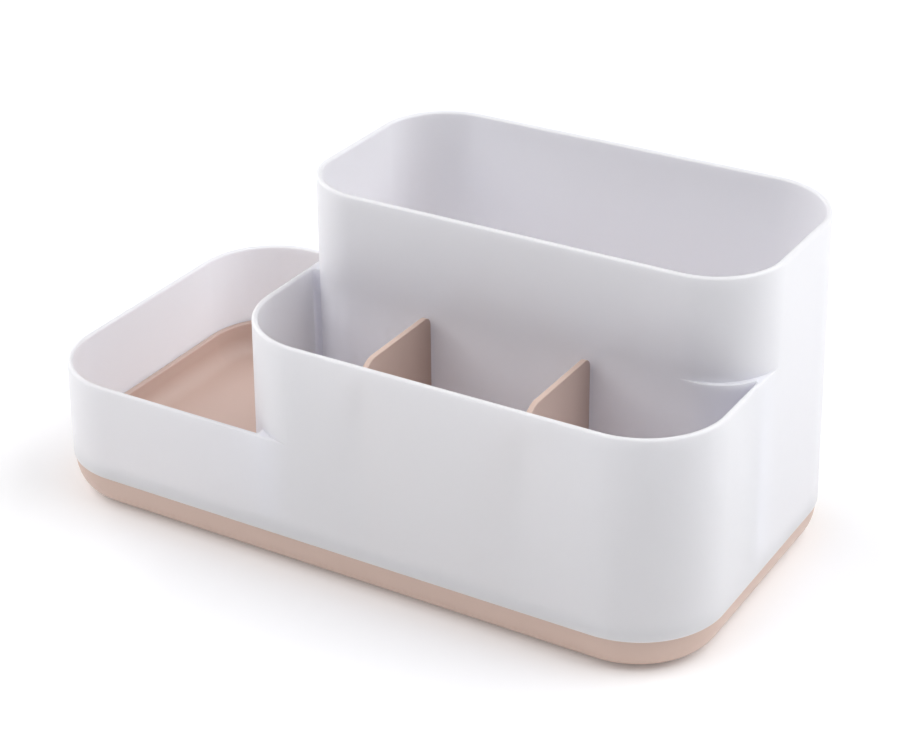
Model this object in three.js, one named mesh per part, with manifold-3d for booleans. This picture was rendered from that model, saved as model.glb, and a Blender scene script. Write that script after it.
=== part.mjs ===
// Three-tier desk organizer: an open-bottomed stepped shell stands on a dished base tray,
// two upright dividers split the middle compartment into three cells, and the tray rests on four pads.
// Millimetres, +Z up. The origin is on the desk, below the middle of the organizer.
// The low tier is at -X, and the tall tier is at the back, +Y.

import * as THREE from "three";
import Module from "manifold-3d";
import { mergeVertices } from "three/addons/utils/BufferGeometryUtils.js";

const wasm = await Module();
wasm.setup();

// Shell
const LENGTH = 260; // along X, at the shell's lower edge
const DEPTH = 137; // along Y, at the shell's lower edge
const LOW_RIM = 50; // heights of the three rims above the desk
const MID_RIM = 86.5;
const TALL_RIM = 123;
const WALL = 2.05;
const DRAFT = 0.022; // how far the outer walls lean inwards per millimetre of height
const SHELL_BOTTOM = 13.4;
const TIER_LEFT = -45.7; // left face of the middle and tall tiers
const TALL_FRONT = -22; // front face of the tall tier
const OUTER_RADIUS = 32;
const MID_LEFT_RADIUS = 30.5; // the middle tier's front left corner
const TALL_RADIUS = 25.5; // the tall tier's front corners and back left corner
const LEDGE_RADIUS = 20.5; // the tall tier's front right corner below the middle rim, which leaves a ledge
const LOW_POCKET_RIGHT = -31; // beyond it the low compartment would narrow to a sliver
const MID_POCKET_BACK = -11.5; // beyond it the middle compartment would narrow to a sliver
const POCKET_END_RADIUS = 1;

// Base tray
const TRAY_BOTTOM = 1;
const TRAY_STEP_IN = 0.6; // the tray's side stands this far inside the shell's
const TRAY_CURVE_IN = 6.5; // the rolled lower edge, sideways and upwards
const TRAY_CURVE_UP = 10.9;
const LIP_TOP = 17.9;
const LIP_INSET = 2.55;
const LIP_THICKNESS = 1.9;
const FLOOR_TOP = 5.5;
const FLOOR_THICKNESS = 2.5;
const DISH_FILLET = 7;
const RECESS_INSET = 14;
const DISH_FLOOR_INSET = LIP_INSET + LIP_THICKNESS + DISH_FILLET;

// Dividers
const DIVIDER_THICKNESS = 2;
const DIVIDER_TOP = 86.2;
const DIVIDER_FRONT_CORNER = 8;
const DIVIDER_BACK_CORNER = 3.5;
const DIVIDERS = { divider_left: 10.5, divider_right: 71.4 }; // middle of each divider along X
const SOCKET_RIB_HEIGHT = 3;
const SOCKET_RIB_THICKNESS = 1.2;

// Foot pads
const PAD_RADIUS = 6;
const PAD_TOP = 1.7;
const PAD_CHAMFER = 0.4;
const BOSS_RADIUS = 7.5;
const BOSS_BOTTOM = 2;
const PAD_X = 98; // places of the pads, either side of the middle
const PAD_Y = 36.5;

const GAP = 0.3; // between pieces that touch
const OVERCUT = 2; // how far a cutter runs past the surface that it opens
const LIP_CLEARANCE_TOP = LIP_TOP + GAP;
const PARTITION_BOTTOM = FLOOR_TOP + GAP;
const CORNER_STEPS = 6;
const CURVE_STEPS = 5;

const materials = {
  white: new THREE.MeshStandardMaterial({ color: 0xe9e8ee, roughness: 0.4, metalness: 0 }),
  beige: new THREE.MeshStandardMaterial({ color: 0xc4a89a, roughness: 0.5, metalness: 0 }),
  rubber: new THREE.MeshStandardMaterial({ color: 0x8d8781, roughness: 0.8, metalness: 0 }),
};

// Outlines seen from above, anticlockwise. Radii run front left, front right, back right, back left.
function roundedRectangle({ left, right, front, back, radii }) {
  const [frontLeft, frontRight, backRight, backLeft] = radii;
  const path = new THREE.Path();
  path.absarc(left + frontLeft, front + frontLeft, frontLeft, Math.PI, 1.5 * Math.PI);
  path.absarc(right - frontRight, front + frontRight, frontRight, 1.5 * Math.PI, 2 * Math.PI);
  path.absarc(right - backRight, back - backRight, backRight, 0, 0.5 * Math.PI);
  path.absarc(left + backLeft, back - backLeft, backLeft, 0.5 * Math.PI, Math.PI);
  return path.getPoints(CORNER_STEPS);
}

// The organizer's outer outline at height z, moved inwards by inset. The walls lean by the draft.
function outerSides(z, inset = 0) {
  const inwards = inset + DRAFT * (z - SHELL_BOTTOM);
  const radius = OUTER_RADIUS - inwards;
  return {
    left: -LENGTH / 2 + inwards,
    right: LENGTH / 2 - inwards,
    front: -DEPTH / 2 + inwards,
    back: DEPTH / 2 - inwards,
    radii: [radius, radius, radius, radius],
  };
}

function midSides(z, inset = 0) {
  const outer = outerSides(z, inset);
  const right = outer.radii[1];
  const radii = [MID_LEFT_RADIUS - inset, right, right, TALL_RADIUS - inset];
  return { ...outer, left: TIER_LEFT + inset, radii };
}

function tallSides(z, inset = 0, frontRightRadius = TALL_RADIUS) {
  const outer = outerSides(z, inset);
  const left = TALL_RADIUS - inset;
  const radii = [left, frontRightRadius - inset, outer.radii[2], left];
  return { ...outer, left: TIER_LEFT + inset, front: TALL_FRONT + inset, radii };
}

// The tray doesn't lean: its outline is the shell's lower edge, moved inwards.
function traySides(inset) {
  return outerSides(SHELL_BOTTOM, inset);
}

// A closed solid through a stack of outlines, each with its height.
function loft(levels) {
  const rings = levels.map(({ sides }) => roundedRectangle(sides).slice(0, -1));
  const count = rings[0].length;
  const positions = rings.flatMap((ring, level) => {
    return ring.flatMap((point) => [point.x, point.y, levels[level].z]);
  });
  const faces = [];
  for (let level = 0; level + 1 < rings.length; level++) {
    for (let i = 0; i < count; i++) {
      const here = level * count + i;
      const next = level * count + ((i + 1) % count);
      faces.push(here, next, next + count, here, next + count, here + count);
    }
  }
  const top = (rings.length - 1) * count;
  for (const [a, b, c] of THREE.ShapeUtils.triangulateShape(rings[0], [])) {
    faces.push(c, b, a);
  }
  for (const [a, b, c] of THREE.ShapeUtils.triangulateShape(rings.at(-1), [])) {
    faces.push(top + a, top + b, top + c);
  }
  const geometry = new THREE.BufferGeometry();
  geometry.setAttribute("position", new THREE.Float32BufferAttribute(positions, 3));
  geometry.setIndex(faces);
  return solid(geometry);
}

function straightBlock(sides, zLow, zHigh) {
  return loft([{ sides, z: zLow }, { sides, z: zHigh }]);
}

// Every leaning solid has outlines at the same heights, so that flush walls share their corners exactly.
function leaningBlock(sidesAt, inset, zLow, zHigh) {
  const between = [SHELL_BOTTOM, LIP_CLEARANCE_TOP, LOW_RIM, MID_RIM].filter((z) => z > zLow && z < zHigh);
  return loft([zLow, ...between, zHigh].map((z) => ({ sides: sidesAt(z, inset), z })));
}

// Solids for cutting and joining
function solid(geometry) {
  const bare = geometry.clone();
  bare.deleteAttribute("normal");
  bare.deleteAttribute("uv");
  const merged = mergeVertices(bare);
  return new wasm.Manifold(
    new wasm.Mesh({
      numProp: 3,
      vertProperties: new Float32Array(merged.attributes.position.array),
      triVerts: new Uint32Array(merged.index.array),
    }),
  );
}

function geometryOf(manifold) {
  const mesh = manifold.getMesh();
  const geometry = new THREE.BufferGeometry();
  geometry.setAttribute("position", new THREE.BufferAttribute(new Float32Array(mesh.vertProperties), 3));
  geometry.setIndex(new THREE.BufferAttribute(new Uint32Array(mesh.triVerts), 1));
  geometry.computeVertexNormals();
  return geometry;
}

function box(xLow, xHigh, yLow, yHigh, zLow, zHigh) {
  const geometry = new THREE.BoxGeometry(xHigh - xLow, yHigh - yLow, zHigh - zLow);
  geometry.translate((xLow + xHigh) / 2, (yLow + yHigh) / 2, (zLow + zHigh) / 2);
  return solid(geometry);
}

function disc(radius, x, y, zLow, zHigh) {
  const geometry = new THREE.CylinderGeometry(radius, radius, zHigh - zLow, 24);
  geometry.rotateX(Math.PI / 2);
  geometry.translate(x, y, (zLow + zHigh) / 2);
  return solid(geometry);
}

const padCentres = [
  ["foot_front_left", -PAD_X, -PAD_Y],
  ["foot_front_right", PAD_X, -PAD_Y],
  ["foot_back_left", -PAD_X, PAD_Y],
  ["foot_back_right", PAD_X, PAD_Y],
];

// Shell: three stacked tiers, hollowed by three compartments that are open above and below.
// The middle tier starts lower, because the partitions reach down into the tray.
function midTier() {
  return leaningBlock(midSides, 0, PARTITION_BOTTOM, MID_RIM);
}

function shellTiers() {
  const low = leaningBlock(outerSides, 0, SHELL_BOTTOM, LOW_RIM);
  const tall = leaningBlock(tallSides, 0, MID_RIM, TALL_RIM);
  return low.add(midTier()).add(tall);
}

function lowCompartment() {
  const sidesAt = (z, inset) => {
    const outer = outerSides(z, inset);
    const left = outer.radii[0];
    const radii = [left, POCKET_END_RADIUS, POCKET_END_RADIUS, left];
    return { ...outer, right: LOW_POCKET_RIGHT, radii };
  };
  return leaningBlock(sidesAt, WALL, FLOOR_TOP, LOW_RIM + OVERCUT).subtract(midTier());
}

function midCompartment() {
  const sidesAt = (z, inset) => {
    const mid = midSides(z, inset);
    const radii = [mid.radii[0], mid.radii[1], POCKET_END_RADIUS, POCKET_END_RADIUS];
    return { ...mid, back: MID_POCKET_BACK, radii };
  };
  const behindPartitionAt = (z, inset) => tallSides(z, inset, LEDGE_RADIUS);
  const behindPartition = leaningBlock(behindPartitionAt, 0, FLOOR_TOP - OVERCUT, MID_RIM + 2 * OVERCUT);
  return leaningBlock(sidesAt, WALL, FLOOR_TOP, MID_RIM + OVERCUT).subtract(behindPartition);
}

function tallCompartment() {
  return leaningBlock(tallSides, WALL, FLOOR_TOP, TALL_RIM + OVERCUT);
}

// The partitions stop clear of the tray's lip and fillet, and only the outer wall stands around the lip.
function lipClearance() {
  const endSides = traySides(DISH_FLOOR_INSET + GAP);
  const partitionEnds = straightBlock(endSides, FLOOR_TOP - OVERCUT, LIP_CLEARANCE_TOP + OVERCUT);
  const insideWall = leaningBlock(outerSides, WALL, SHELL_BOTTOM, LIP_CLEARANCE_TOP);
  const belowWall = straightBlock(traySides(-OVERCUT), FLOOR_TOP - 2 * OVERCUT, SHELL_BOTTOM);
  return insideWall.add(belowWall).subtract(partitionEnds);
}

function shell() {
  return shellTiers()
    .subtract(lowCompartment())
    .subtract(midCompartment())
    .subtract(tallCompartment())
    .subtract(lipClearance());
}

// Base tray: a dish with a rolled lower edge, a shoulder for the shell and a lip inside the shell's wall.
function trayBody() {
  const levels = [];
  for (let i = 0; i <= CURVE_STEPS; i++) {
    const turn = (0.5 * Math.PI * i) / CURVE_STEPS;
    const inset = TRAY_STEP_IN + TRAY_CURVE_IN * (1 - Math.sin(turn));
    levels.push({ sides: traySides(inset), z: TRAY_BOTTOM + TRAY_CURVE_UP * (1 - Math.cos(turn)) });
  }
  levels.push({ sides: traySides(TRAY_STEP_IN), z: SHELL_BOTTOM - GAP });
  return loft(levels).add(straightBlock(traySides(LIP_INSET), SHELL_BOTTOM - OVERCUT, LIP_TOP));
}

function dishHollow() {
  const levels = [];
  for (let i = 0; i <= CURVE_STEPS; i++) {
    const turn = (0.5 * Math.PI * i) / CURVE_STEPS;
    const inset = LIP_INSET + LIP_THICKNESS + DISH_FILLET * (1 - Math.sin(turn));
    levels.push({ sides: traySides(inset), z: FLOOR_TOP + DISH_FILLET * (1 - Math.cos(turn)) });
  }
  levels.push({ sides: traySides(LIP_INSET + LIP_THICKNESS), z: LIP_TOP + OVERCUT });
  return loft(levels);
}

function dividerSockets() {
  const front = -DEPTH / 2 + DISH_FLOOR_INSET + GAP;
  const back = TALL_FRONT - GAP;
  const ribs = [];
  for (const middle of Object.values(DIVIDERS)) {
    for (const side of [-1, 1]) {
      const near = middle + side * (DIVIDER_THICKNESS / 2 + GAP);
      const far = near + side * SOCKET_RIB_THICKNESS;
      const [left, right] = [Math.min(near, far), Math.max(near, far)];
      ribs.push(box(left, right, front, back, FLOOR_TOP - 1, FLOOR_TOP + SOCKET_RIB_HEIGHT));
    }
  }
  return ribs;
}

function baseTray() {
  const recessTop = FLOOR_TOP - FLOOR_THICKNESS;
  const recess = straightBlock(traySides(RECESS_INSET), TRAY_BOTTOM - OVERCUT, recessTop);
  let tray = trayBody().subtract(dishHollow()).subtract(recess);
  for (const [, x, y] of padCentres) {
    tray = tray.add(disc(BOSS_RADIUS, x, y, BOSS_BOTTOM, recessTop + 1));
  }
  for (const rib of dividerSockets()) {
    tray = tray.add(rib);
  }
  return tray;
}

// A rounded top corner, a quarter turn from the start angle.
function topCorner(outline, centre, radius, start) {
  outline.absarc(centre, DIVIDER_TOP - radius, radius, start, start + 0.5 * Math.PI);
}

// Dividers: plates with rounded top corners, notched at the lower front to clear the tray's lip.
function dividerGeometry(middle) {
  const front = outerSides(MID_RIM, WALL).front + GAP;
  const back = TALL_FRONT - GAP;
  const notchBack = -DEPTH / 2 + DISH_FLOOR_INSET + 2 * GAP;
  const bottom = FLOOR_TOP + GAP;
  const outline = new THREE.Shape();
  outline.moveTo(notchBack, bottom);
  outline.lineTo(back, bottom);
  topCorner(outline, back - DIVIDER_BACK_CORNER, DIVIDER_BACK_CORNER, 0);
  topCorner(outline, front + DIVIDER_FRONT_CORNER, DIVIDER_FRONT_CORNER, 0.5 * Math.PI);
  outline.lineTo(front, LIP_CLEARANCE_TOP);
  outline.lineTo(notchBack, LIP_CLEARANCE_TOP);
  outline.closePath();
  const geometry = new THREE.ExtrudeGeometry(outline, {
    depth: DIVIDER_THICKNESS,
    bevelEnabled: false,
    curveSegments: CORNER_STEPS,
  });
  // The outline's first axis is the object's Y, its second is Z, and the plate's thickness lies along X.
  geometry.applyMatrix4(new THREE.Matrix4().set(0, 0, 1, 0, 1, 0, 0, 0, 0, 1, 0, 0, 0, 0, 0, 1));
  geometry.translate(middle - DIVIDER_THICKNESS / 2, 0, 0);
  return geometry;
}

// Foot pad: a turned disc with a small chamfer at the desk, placed on its boss.
function padGeometry() {
  const profile = [
    new THREE.Vector2(0, 0),
    new THREE.Vector2(PAD_RADIUS - PAD_CHAMFER, 0),
    new THREE.Vector2(PAD_RADIUS, PAD_CHAMFER),
    new THREE.Vector2(PAD_RADIUS, PAD_TOP),
    new THREE.Vector2(0, PAD_TOP),
  ];
  const geometry = new THREE.LatheGeometry(profile, 24);
  geometry.rotateX(Math.PI / 2);
  return geometry;
}

function addPiece(group, name, geometry, material, x = 0, y = 0) {
  const piece = new THREE.Mesh(geometry, material);
  piece.name = name;
  piece.position.set(x, y, 0);
  group.add(piece);
}

const organizer = new THREE.Group();
addPiece(organizer, "shell", geometryOf(shell()), materials.white);
addPiece(organizer, "base_tray", geometryOf(baseTray()), materials.beige);
for (const [name, middle] of Object.entries(DIVIDERS)) {
  addPiece(organizer, name, dividerGeometry(middle), materials.beige);
}
for (const [name, x, y] of padCentres) {
  addPiece(organizer, name, padGeometry(), materials.rubber, x, y);
}

export default organizer;
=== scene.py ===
"""Looks for the desk organizer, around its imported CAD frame: mouldings, plastics, floor, lights and camera.

Each moulding is built again at a finer grain than its CAD node, in the same place, with rounded rims.
Only the tray's lip stands a little nearer to the wall. The white plastic's deep scatter and the floor's
faint glow are tuned for the look of the light, and don't come from measurements of such materials.
Lengths are in metres. The low tier is at -X, the tall tier at the back, +Y, and the desk is at z = 0.
"""

import math

import bmesh
import bpy
from mathutils import Matrix, Vector


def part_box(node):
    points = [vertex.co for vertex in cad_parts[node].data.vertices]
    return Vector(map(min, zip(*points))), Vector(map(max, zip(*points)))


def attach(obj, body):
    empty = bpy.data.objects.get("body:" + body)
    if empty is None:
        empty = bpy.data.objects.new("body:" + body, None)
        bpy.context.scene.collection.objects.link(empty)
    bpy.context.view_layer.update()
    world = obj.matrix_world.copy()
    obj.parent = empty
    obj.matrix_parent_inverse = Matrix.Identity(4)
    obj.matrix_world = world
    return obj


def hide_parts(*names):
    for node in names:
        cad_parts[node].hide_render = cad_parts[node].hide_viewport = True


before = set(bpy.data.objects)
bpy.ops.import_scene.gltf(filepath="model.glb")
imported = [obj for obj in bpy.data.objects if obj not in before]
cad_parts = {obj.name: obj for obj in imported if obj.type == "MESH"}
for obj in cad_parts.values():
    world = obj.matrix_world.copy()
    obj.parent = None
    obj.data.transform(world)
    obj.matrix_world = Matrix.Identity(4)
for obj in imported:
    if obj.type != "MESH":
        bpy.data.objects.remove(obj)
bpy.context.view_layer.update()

MM = 0.001

# Overall sizes, from the frame
shell_low, shell_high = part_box("shell")
tray_low, tray_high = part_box("base_tray")
HALF_LENGTH = (shell_high.x - shell_low.x) / 2
HALF_DEPTH = (shell_high.y - shell_low.y) / 2
TALL_RIM = shell_high.z
PARTITION_BOTTOM = shell_low.z
TRAY_BOTTOM = tray_low.z
LIP_TOP = tray_high.z
DIVIDERS = ("divider_left", "divider_right")
PADS = ("foot_front_left", "foot_front_right", "foot_back_left", "foot_back_right")

# Shell
TIER_STEP = 36.5 * MM  # from one rim up to the next
MID_RIM = TALL_RIM - TIER_STEP
LOW_RIM = MID_RIM - TIER_STEP
WALL = 2.05 * MM
DRAFT = 0.022  # how far the outer walls lean inwards per metre of height
SHELL_BOTTOM = 13.4 * MM
TIER_LEFT = -45.7 * MM  # left face of the middle and tall tiers
TALL_FRONT = -22 * MM  # front face of the tall tier
OUTER_RADIUS = 32 * MM
MID_LEFT_RADIUS = 30.5 * MM
TALL_RADIUS = 25.5 * MM
LEDGE_RADIUS = 20.5 * MM  # the tall tier's front right corner below the middle rim
LOW_POCKET_RIGHT = -31 * MM
MID_POCKET_BACK = -11.5 * MM
POCKET_END_RADIUS = 1 * MM
RIM_ROUND = 0.9 * MM
LEDGE_ROUND = 0.2 * MM

# Base tray
TRAY_STEP_IN = 0.6 * MM
TRAY_CURVE_IN = 6.5 * MM
TRAY_CURVE_UP = 10.9 * MM
LIP_INSET = 2.3 * MM  # fits closer to the wall than its CAD node, so that no gap shows
LIP_THICKNESS = 2.15 * MM
FLOOR_TOP = 5.5 * MM
FLOOR_THICKNESS = 2.5 * MM
DISH_FILLET = 7 * MM
RECESS_INSET = 14 * MM
DISH_FLOOR_INSET = LIP_INSET + LIP_THICKNESS + DISH_FILLET
LIP_ROUND = 0.7 * MM
SHOULDER_ROUND = 0.3 * MM
BOSS_RADIUS = 7.5 * MM
BOSS_BOTTOM = 2 * MM
SOCKET_RIB_HEIGHT = 3 * MM
SOCKET_RIB_THICKNESS = 1.2 * MM
SOCKET_RIB_CORNER = 0.3 * MM

# Dividers and pads
DIVIDER_FRONT_CORNER = 8 * MM
DIVIDER_BACK_CORNER = 3.5 * MM
DIVIDER_EDGE_ROUND = 0.3 * MM
PAD_EDGE_ROUND = 0.5 * MM

# Plastics. The first three are noise scales, in patches to the metre.
COLOUR_DRIFT = 14
GLOSS_DRIFT = 60
MOULD_GRAIN = 2600
PLASTIC_IOR = 1.49
SCATTER_DEPTH = 5 * MM

GAP = 0.3 * MM
OVERCUT = 2 * MM  # how far a cutter runs past the surface that it opens
OVERLAP = 1 * MM  # how far a boss or rib is let into the tray's floor
LIP_CLEARANCE_TOP = LIP_TOP + GAP
SHARED_HEIGHTS = (SHELL_BOTTOM, LIP_CLEARANCE_TOP, LOW_RIM - RIM_ROUND, MID_RIM - RIM_ROUND)
CORNER_STEPS = 32  # flats in a quarter turn seen from above
SMALL_CORNER_STEPS = 4  # the same, for the corners of the small socket ribs
ROUND_STEPS = 6  # flats in a quarter turn of a rounded edge
FILLET_STEPS = 16  # flats in the tray's larger curves and the dividers' corners
BEVEL_STEPS = 4
CREASE_ANGLE = math.radians(35)

# Camera
LENS = 86.6  # millimetres
SENSOR_WIDTH = 36
CAMERA_PLACE = Vector((0.36283, -0.59277, 0.41993))
CAMERA_AIM = Vector((0.00727, 0.00386, 0.05423))
CAMERA_ROLL = math.radians(-0.45)

# Floor and lights
FLOOR_HALF = 4.0
FLOOR_GLOW = 0.1
WORLD_STRENGTH = 0.02
LIGHTS_AIM = Vector((0, 0, 0.06))
SOFTBOXES = (
    # name, azimuth and elevation in degrees, distance, size, watts, colour
    ("right_softbox", 120, 45, 1.6, 1.6, 23, (0.98, 0.985, 1.0)),
    ("front_softbox", -45, 45, 1.6, 1.6, 14, (1.0, 0.99, 1.0)),
    ("left_softbox", -105, 20, 1.5, 1.0, 7.5, (1.0, 0.99, 1.0)),
    ("top_softbox", 0, 90, 1.7, 2.0, 9, (1.0, 1.0, 1.0)),
)


# ---------------------------------------------------------------- outlines and solids


def rounded_rectangle(sides, steps):
    """Points of a rounded rectangle seen from above, anticlockwise from its front left corner."""
    left, right, front, back, radii = sides
    centres = (
        (left + radii[0], front + radii[0]),
        (right - radii[1], front + radii[1]),
        (right - radii[2], back - radii[2]),
        (left + radii[3], back - radii[3]),
    )
    points = []
    for corner, (x, y) in enumerate(centres):
        for step in range(steps + 1):
            angle = math.pi + 0.5 * math.pi * (corner + step / steps)
            points.append((x + radii[corner] * math.cos(angle), y + radii[corner] * math.sin(angle)))
    return points


def outer_sides(z, inset):
    """The shell's outer outline at height z, moved inwards by inset."""
    inwards = inset + DRAFT * (z - SHELL_BOTTOM)
    radius = OUTER_RADIUS - inwards
    return (
        -HALF_LENGTH + inwards,
        HALF_LENGTH - inwards,
        -HALF_DEPTH + inwards,
        HALF_DEPTH - inwards,
        (radius, radius, radius, radius),
    )


def low_pocket_sides(z, inset):
    left, _, front, back, radii = outer_sides(z, inset)
    end = POCKET_END_RADIUS
    return left, LOW_POCKET_RIGHT, front, back, (radii[0], end, end, radii[3])


def mid_sides(z, inset):
    _, right, front, back, radii = outer_sides(z, inset)
    own = (MID_LEFT_RADIUS - inset, radii[1], radii[2], TALL_RADIUS - inset)
    return TIER_LEFT + inset, right, front, back, own


def mid_pocket_sides(z, inset):
    left, right, front, _, radii = mid_sides(z, inset)
    end = POCKET_END_RADIUS
    return left, right, front, MID_POCKET_BACK, (radii[0], radii[1], end, end)


def tall_sides(z, inset, front_right_radius=TALL_RADIUS):
    _, right, _, back, radii = outer_sides(z, inset)
    left = TALL_RADIUS - inset
    own = (left, front_right_radius - inset, radii[2], left)
    return TIER_LEFT + inset, right, TALL_FRONT + inset, back, own


def ledge_sides(z, inset):
    return tall_sides(z, inset, LEDGE_RADIUS)


def tray_sides(inset):
    """The tray doesn't lean: its outline is the shell's lower edge, moved inwards."""
    return outer_sides(SHELL_BOTTOM, inset)


def object_from(bm, name):
    mesh = bpy.data.meshes.new(name)
    bm.to_mesh(mesh)
    bm.free()
    piece = bpy.data.objects.new(name, mesh)
    bpy.context.scene.collection.objects.link(piece)
    return piece


def loft(name, levels, steps=CORNER_STEPS):
    """A closed solid through a stack of (sides, z) outlines, capped at both ends."""
    bm = bmesh.new()
    rings = []
    for sides, z in levels:
        rings.append([bm.verts.new((x, y, z)) for x, y in rounded_rectangle(sides, steps)])
    count = len(rings[0])
    for lower, upper in zip(rings, rings[1:]):
        for i in range(count):
            j = (i + 1) % count
            bm.faces.new((lower[i], lower[j], upper[j], upper[i]))
    bm.faces.new(reversed(rings[0]))
    bm.faces.new(rings[-1])
    bmesh.ops.recalc_face_normals(bm, faces=bm.faces)
    return object_from(bm, name)


def quarter_turn(steps):
    """(sine, 1 - cosine) at even steps through a quarter turn."""
    for step in range(steps + 1):
        angle = 0.5 * math.pi * step / steps
        yield math.sin(angle), 1 - math.cos(angle)


def walls(sides_at, inset, z_low, rounding, rim):
    """Outlines up a tier's walls and over its rounded rim: inwards, or outwards for a negative rounding.

    Every tier and hollow has outlines at the shared heights, so that flush walls have the same corners.
    """
    turn_start = rim - abs(rounding)
    between = [z for z in SHARED_HEIGHTS if z_low < z < turn_start]
    levels = [(sides_at(z, inset), z) for z in [z_low] + between]
    for up, inwards in quarter_turn(ROUND_STEPS):
        z = turn_start + abs(rounding) * up
        levels.append((sides_at(z, inset + rounding * inwards), z))
    return levels


def tier(name, sides_at, z_low, rim):
    """A tier's solid: leaning walls and a rounded rim edge."""
    return loft(name, walls(sides_at, 0.0, z_low, RIM_ROUND, rim))


def pocket(name, sides_at, rim):
    """A compartment's hollow: it follows the walls, flares over the rounded rim and runs on upwards."""
    levels = walls(sides_at, WALL, 0.0, -RIM_ROUND, rim)
    levels.append((levels[-1][0], rim + OVERCUT))
    return loft(name, levels)


def block(name, sides, z_low, z_high, steps=CORNER_STEPS):
    return loft(name, [(sides, z_low), (sides, z_high)], steps)


def combine(piece, other, operation):
    """Joins other to piece, or cuts it out of piece, and removes other."""
    modifier = piece.modifiers.new(operation, "BOOLEAN")
    modifier.operation = operation
    modifier.solver = "MANIFOLD"
    modifier.object = other
    result = bpy.data.meshes.new_from_object(piece.evaluated_get(bpy.context.evaluated_depsgraph_get()))
    piece.modifiers.clear()
    used = piece.data
    piece.data = result
    bpy.data.meshes.remove(used)
    bpy.data.objects.remove(other)
    return piece


def smooth(piece):
    """Smooth shading with true creases, and flat faces that stay flat next to rounded edges."""
    for polygon in piece.data.polygons:
        polygon.use_smooth = True
    piece.data.set_sharp_from_angle(angle=CREASE_ANGLE)
    weighted = piece.modifiers.new("flat faces", "WEIGHTED_NORMAL")
    weighted.keep_sharp = True
    weighted.weight = 100


# ---------------------------------------------------------------- materials


class Nodes:
    """Short calls for building a material's node tree."""

    def __init__(self, name):
        self.material = bpy.data.materials.new(name)
        self.material.use_nodes = True
        self.tree = self.material.node_tree
        self.shader = self.tree.nodes["Principled BSDF"]
        self.coordinates = self.add("ShaderNodeTexCoord").outputs["Object"]

    def add(self, kind, **settings):
        node = self.tree.nodes.new(kind)
        for key, value in settings.items():
            setattr(node, key, value)
        return node

    def link(self, output, socket):
        self.tree.links.new(output, socket)

    def noise(self, scale, detail=2.0, roughness=0.5):
        node = self.add("ShaderNodeTexNoise")
        node.inputs["Scale"].default_value = scale
        node.inputs["Detail"].default_value = detail
        node.inputs["Roughness"].default_value = roughness
        self.link(self.coordinates, node.inputs["Vector"])
        return node.outputs["Fac"]

    def spread(self, value, low, high):
        """Maps a noise value, which stays near its middle, to the range low to high."""
        node = self.add("ShaderNodeMapRange")
        node.inputs["From Min"].default_value = 0.3
        node.inputs["From Max"].default_value = 0.7
        node.inputs["To Min"].default_value = low
        node.inputs["To Max"].default_value = high
        self.link(value, node.inputs["Value"])
        return node.outputs["Result"]

    def blend(self, factor, first, second):
        node = self.add("ShaderNodeMix", data_type="RGBA")
        self.link(factor, node.inputs["Factor"])
        node.inputs["A"].default_value = (*first, 1)
        node.inputs["B"].default_value = (*second, 1)
        return node.outputs["Result"]

    def bump(self, height, distance):
        node = self.add("ShaderNodeBump")
        node.inputs["Distance"].default_value = distance
        self.link(height, node.inputs["Height"])
        return node.outputs["Normal"]


def moulded_plastic(name, colour, shade, roughness, grain_depth, translucency):
    """Satin moulded plastic: a fine spark-eroded grain, with colour and gloss that drift slightly."""
    nodes = Nodes(name)
    drift = nodes.spread(nodes.noise(COLOUR_DRIFT), 0, 1)
    nodes.link(nodes.blend(drift, colour, shade), nodes.shader.inputs["Base Color"])
    gloss = nodes.spread(nodes.noise(GLOSS_DRIFT, 3), roughness - 0.03, roughness + 0.03)
    nodes.link(gloss, nodes.shader.inputs["Roughness"])
    grain = nodes.noise(MOULD_GRAIN, 2, 0.6)
    nodes.link(nodes.bump(grain, grain_depth), nodes.shader.inputs["Normal"])
    nodes.shader.inputs["IOR"].default_value = PLASTIC_IOR
    nodes.shader.inputs["Subsurface Weight"].default_value = translucency
    nodes.shader.inputs["Subsurface Radius"].default_value = (1, 1, 1)
    nodes.shader.inputs["Subsurface Scale"].default_value = SCATTER_DEPTH
    return nodes.material


def pad_rubber():
    nodes = Nodes("pad_rubber")
    drift = nodes.spread(nodes.noise(200, 3), 0, 1)
    colour = nodes.blend(drift, (0.30, 0.28, 0.26), (0.26, 0.245, 0.23))
    nodes.link(colour, nodes.shader.inputs["Base Color"])
    nodes.link(nodes.spread(nodes.noise(400, 2), 0.75, 0.9), nodes.shader.inputs["Roughness"])
    nodes.link(nodes.bump(nodes.noise(3000, 2), 0.02 * MM), nodes.shader.inputs["Normal"])
    return nodes.material


def floor_surface():
    nodes = Nodes("pale_floor")
    drift = nodes.spread(nodes.noise(6, 2), 0, 1)
    colour = nodes.blend(drift, (0.96, 0.96, 0.96), (0.955, 0.955, 0.96))
    nodes.link(colour, nodes.shader.inputs["Base Color"])
    nodes.shader.inputs["Roughness"].default_value = 0.9
    nodes.shader.inputs["Specular IOR Level"].default_value = 0.1
    nodes.shader.inputs["Emission Color"].default_value = (1, 1, 1, 1)
    nodes.shader.inputs["Emission Strength"].default_value = FLOOR_GLOW
    return nodes.material


WHITE = moulded_plastic("white_plastic", (0.865, 0.87, 0.95), (0.86, 0.865, 0.945), 0.38, 0.006 * MM, 1.0)
BEIGE = moulded_plastic("beige_plastic", (0.71, 0.535, 0.455), (0.70, 0.525, 0.445), 0.42, 0.008 * MM, 0.0)
RUBBER = pad_rubber()


def finish_piece(piece, body, slot, material, *nodes):
    piece.data.materials.clear()
    piece.data.materials.append(material)
    smooth(piece)
    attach(piece, body)
    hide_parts(*nodes)


# ---------------------------------------------------------------- shell


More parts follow.
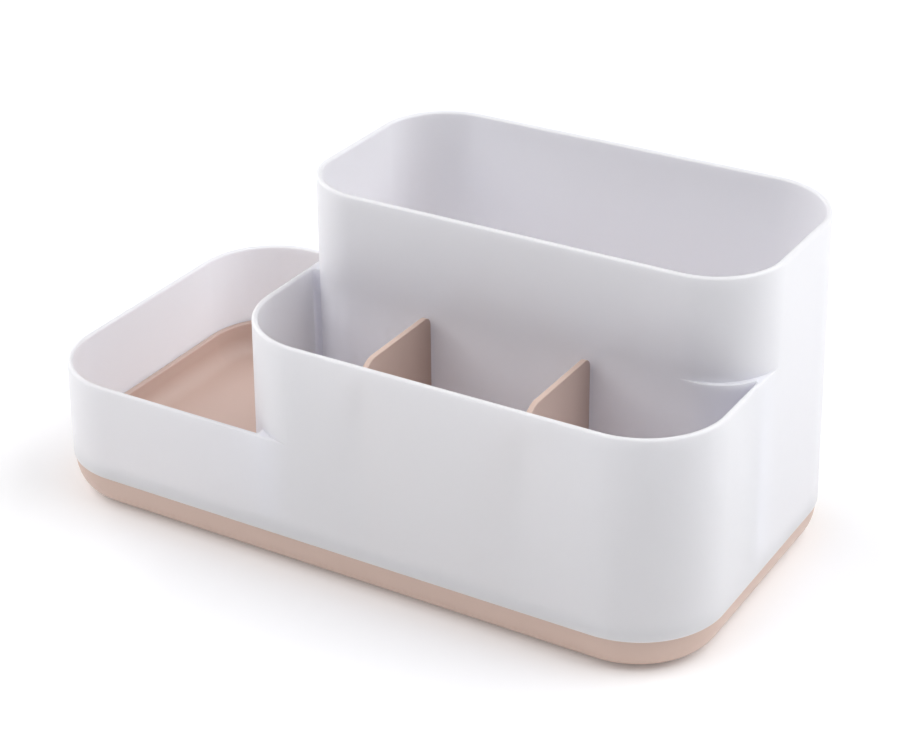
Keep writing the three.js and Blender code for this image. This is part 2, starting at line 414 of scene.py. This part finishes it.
def mid_pocket():
    """The middle tier's hollow ends at the tall tier's front wall, and at the ledge at its right end."""
    hollow = pocket("mid pocket", mid_pocket_sides, MID_RIM)
    levels = walls(ledge_sides, 0.0, -OVERCUT, LEDGE_ROUND, MID_RIM)
    levels.append((levels[-1][0], MID_RIM + 2 * OVERCUT))
    return combine(hollow, loft("ledge", levels), "DIFFERENCE")


def lip_clearance():
    """What the shell leaves free for the tray: the room round its lip, and all below the outer wall."""
    heights = (SHELL_BOTTOM - GAP, SHELL_BOTTOM, LIP_CLEARANCE_TOP)
    inside = loft("clearance", [(outer_sides(z, WALL), z) for z in heights])
    below = block("below", tray_sides(-OVERCUT), PARTITION_BOTTOM - OVERCUT, SHELL_BOTTOM)
    middle = tray_sides(DISH_FLOOR_INSET + GAP)
    partitions = block("partitions", middle, 0.0, LIP_CLEARANCE_TOP + OVERCUT)
    combine(inside, below, "UNION")
    return combine(inside, partitions, "DIFFERENCE")


def make_shell():
    """Three tiers, hollowed in turn, so that each rim dies cleanly into the next tier's wall."""
    shell = tier("shell_moulding", outer_sides, SHELL_BOTTOM, LOW_RIM)
    combine(shell, pocket("low pocket", low_pocket_sides, LOW_RIM), "DIFFERENCE")
    combine(shell, tier("mid tier", mid_sides, PARTITION_BOTTOM, MID_RIM), "UNION")
    combine(shell, mid_pocket(), "DIFFERENCE")
    combine(shell, tier("tall tier", tall_sides, MID_RIM - RIM_ROUND, TALL_RIM), "UNION")
    combine(shell, pocket("tall pocket", tall_sides, TALL_RIM), "DIFFERENCE")
    combine(shell, lip_clearance(), "DIFFERENCE")
    finish_piece(shell, "shell", "white_plastic", WHITE, "shell")


# ---------------------------------------------------------------- base tray


def tray_levels():
    """The tray's section: from its hollow underside, round the rolled edge and over the lip, to its floor."""
    recess_top = FLOOR_TOP - FLOOR_THICKNESS
    edge = SHOULDER_ROUND
    levels = [(RECESS_INSET, recess_top)]
    for up, inwards in quarter_turn(ROUND_STEPS):
        levels.append((RECESS_INSET - edge * inwards, TRAY_BOTTOM + edge * (1 - up)))
    for outwards, up in quarter_turn(FILLET_STEPS):
        levels.append((TRAY_STEP_IN + TRAY_CURVE_IN * (1 - outwards), TRAY_BOTTOM + TRAY_CURVE_UP * up))
    shoulder = SHELL_BOTTOM - GAP
    for up, inwards in quarter_turn(ROUND_STEPS):
        levels.append((TRAY_STEP_IN + edge * inwards, shoulder - edge * (1 - up)))
    levels.append((LIP_INSET, shoulder))
    for up, inwards in quarter_turn(ROUND_STEPS):
        levels.append((LIP_INSET + edge * inwards, LIP_TOP - edge * (1 - up)))
    inner = LIP_INSET + LIP_THICKNESS
    for outwards, down in quarter_turn(ROUND_STEPS):
        levels.append((inner - LIP_ROUND * (1 - outwards), LIP_TOP - LIP_ROUND * down))
    for down, inwards in quarter_turn(FILLET_STEPS):
        levels.append((inner + DISH_FILLET * inwards, FLOOR_TOP + DISH_FILLET * (1 - down)))
    return [(tray_sides(inset), z) for inset, z in levels]


def pad_centre(node):
    low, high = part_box(node)
    return (low + high) / 2


def round_sides(centre, radius):
    return (
        centre.x - radius,
        centre.x + radius,
        centre.y - radius,
        centre.y + radius,
        (radius, radius, radius, radius),
    )


def make_tray():
    tray = loft("tray_moulding", tray_levels())
    for node in PADS:
        boss = block("boss", round_sides(pad_centre(node), BOSS_RADIUS), BOSS_BOTTOM, FLOOR_TOP - OVERLAP)
        combine(tray, boss, "UNION")
    front = -HALF_DEPTH + DISH_FLOOR_INSET + GAP
    back = TALL_FRONT - GAP
    radii = (SOCKET_RIB_CORNER, SOCKET_RIB_CORNER, SOCKET_RIB_CORNER, SOCKET_RIB_CORNER)
    for node in DIVIDERS:
        low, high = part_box(node)
        for near, side in ((low.x - GAP, -1), (high.x + GAP, 1)):
            far = near + side * SOCKET_RIB_THICKNESS
            sides = (min(near, far), max(near, far), front, back, radii)
            rib = block("rib", sides, FLOOR_TOP - OVERLAP, FLOOR_TOP + SOCKET_RIB_HEIGHT, SMALL_CORNER_STEPS)
            combine(tray, rib, "UNION")
    finish_piece(tray, "base", "beige_plastic", BEIGE, "base_tray")


# ---------------------------------------------------------------- dividers and pads


def corner_arc(y, z, radius, start):
    """Points of a quarter turn about (y, z), from the start angle."""
    for step in range(FILLET_STEPS + 1):
        angle = start + 0.5 * math.pi * step / FILLET_STEPS
        yield y + radius * math.cos(angle), z + radius * math.sin(angle)


def make_divider(node):
    """A plate with rounded top corners and softened edges, notched at the lower front to clear the lip."""
    low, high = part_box(node)
    notch_back = -HALF_DEPTH + DISH_FLOOR_INSET + 2 * GAP
    front, back = DIVIDER_FRONT_CORNER, DIVIDER_BACK_CORNER
    outline = [(notch_back, low.z), (high.y, low.z)]
    outline += corner_arc(high.y - back, high.z - back, back, 0)
    outline += corner_arc(low.y + front, high.z - front, front, 0.5 * math.pi)
    outline += [(low.y, LIP_CLEARANCE_TOP), (notch_back, LIP_CLEARANCE_TOP)]
    bm = bmesh.new()
    face = bm.faces.new([bm.verts.new((low.x, y, z)) for y, z in outline])
    grown = bmesh.ops.extrude_face_region(bm, geom=[face])["geom"]
    moved = [item for item in grown if isinstance(item, bmesh.types.BMVert)]
    bmesh.ops.translate(bm, verts=moved, vec=(high.x - low.x, 0, 0))
    bmesh.ops.recalc_face_normals(bm, faces=bm.faces)
    plate = object_from(bm, node + "_plate")
    rounding = plate.modifiers.new("softened edges", "BEVEL")
    rounding.width = DIVIDER_EDGE_ROUND
    rounding.segments = BEVEL_STEPS
    rounding.limit_method = "ANGLE"
    rounding.angle_limit = CREASE_ANGLE
    finish_piece(plate, node, "beige_plastic", BEIGE, node)


def make_pad(node):
    """A rubber disc with a rounded lower edge."""
    low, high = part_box(node)
    centre = pad_centre(node)
    radius = (high.x - low.x) / 2
    levels = []
    for outwards, up in quarter_turn(ROUND_STEPS):
        sides = round_sides(centre, radius - PAD_EDGE_ROUND * (1 - outwards))
        levels.append((sides, low.z + PAD_EDGE_ROUND * up))
    levels.append((round_sides(centre, radius), high.z))
    finish_piece(loft(node + "_pad", levels), "base", "pad_rubber", RUBBER, node)


# ---------------------------------------------------------------- stage


def make_floor():
    bm = bmesh.new()
    half = FLOOR_HALF
    corners = ((-half, -half, 0), (half, -half, 0), (half, half, 0), (-half, half, 0))
    bm.faces.new([bm.verts.new(corner) for corner in corners])
    floor = object_from(bm, "floor")
    floor.data.materials.append(floor_surface())


def make_softbox(name, azimuth, elevation, distance, size, watts, colour):
    """A square light that faces the organizer. Azimuth 0 is in front, 90 at the right, 180 behind."""
    turn = math.radians(azimuth)
    lift = math.radians(elevation)
    level = Vector((math.sin(turn), -math.cos(turn), 0))
    direction = level * math.cos(lift) + Vector((0, 0, math.sin(lift)))
    light = bpy.data.lights.new(name, "AREA")
    light.shape = "SQUARE"
    light.size = size
    light.energy = watts
    light.color = colour
    lamp = bpy.data.objects.new(name, light)
    lamp.location = LIGHTS_AIM + distance * direction
    lamp.rotation_euler = (-direction).to_track_quat("-Z", "Y").to_euler()
    bpy.context.scene.collection.objects.link(lamp)


def make_lights():
    """Softboxes at the back right, the front left, the left and above, and a very dim world."""
    world = bpy.data.worlds.new("soft_studio")
    world.use_nodes = True
    background = world.node_tree.nodes["Background"]
    background.inputs["Color"].default_value = (1, 1, 1, 1)
    background.inputs["Strength"].default_value = WORLD_STRENGTH
    bpy.context.scene.world = world
    for softbox in SOFTBOXES:
        make_softbox(*softbox)


def make_camera():
    data = bpy.data.cameras.new("camera")
    data.lens = LENS
    data.sensor_width = SENSOR_WIDTH
    data.clip_start = 0.01
    camera = bpy.data.objects.new("camera", data)
    look = (CAMERA_AIM - CAMERA_PLACE).to_track_quat("-Z", "Y").to_matrix().to_4x4()
    camera.matrix_world = Matrix.Translation(CAMERA_PLACE) @ look @ Matrix.Rotation(CAMERA_ROLL, 4, "Z")
    bpy.context.scene.collection.objects.link(camera)
    bpy.context.scene.camera = camera


make_camera()
make_lights()
make_floor()
make_shell()
make_tray()
for divider in DIVIDERS:
    make_divider(divider)
for pad in PADS:
    make_pad(pad)

scene = bpy.context.scene
scene.view_settings.view_transform = "Standard"
scene.view_settings.look = "None"
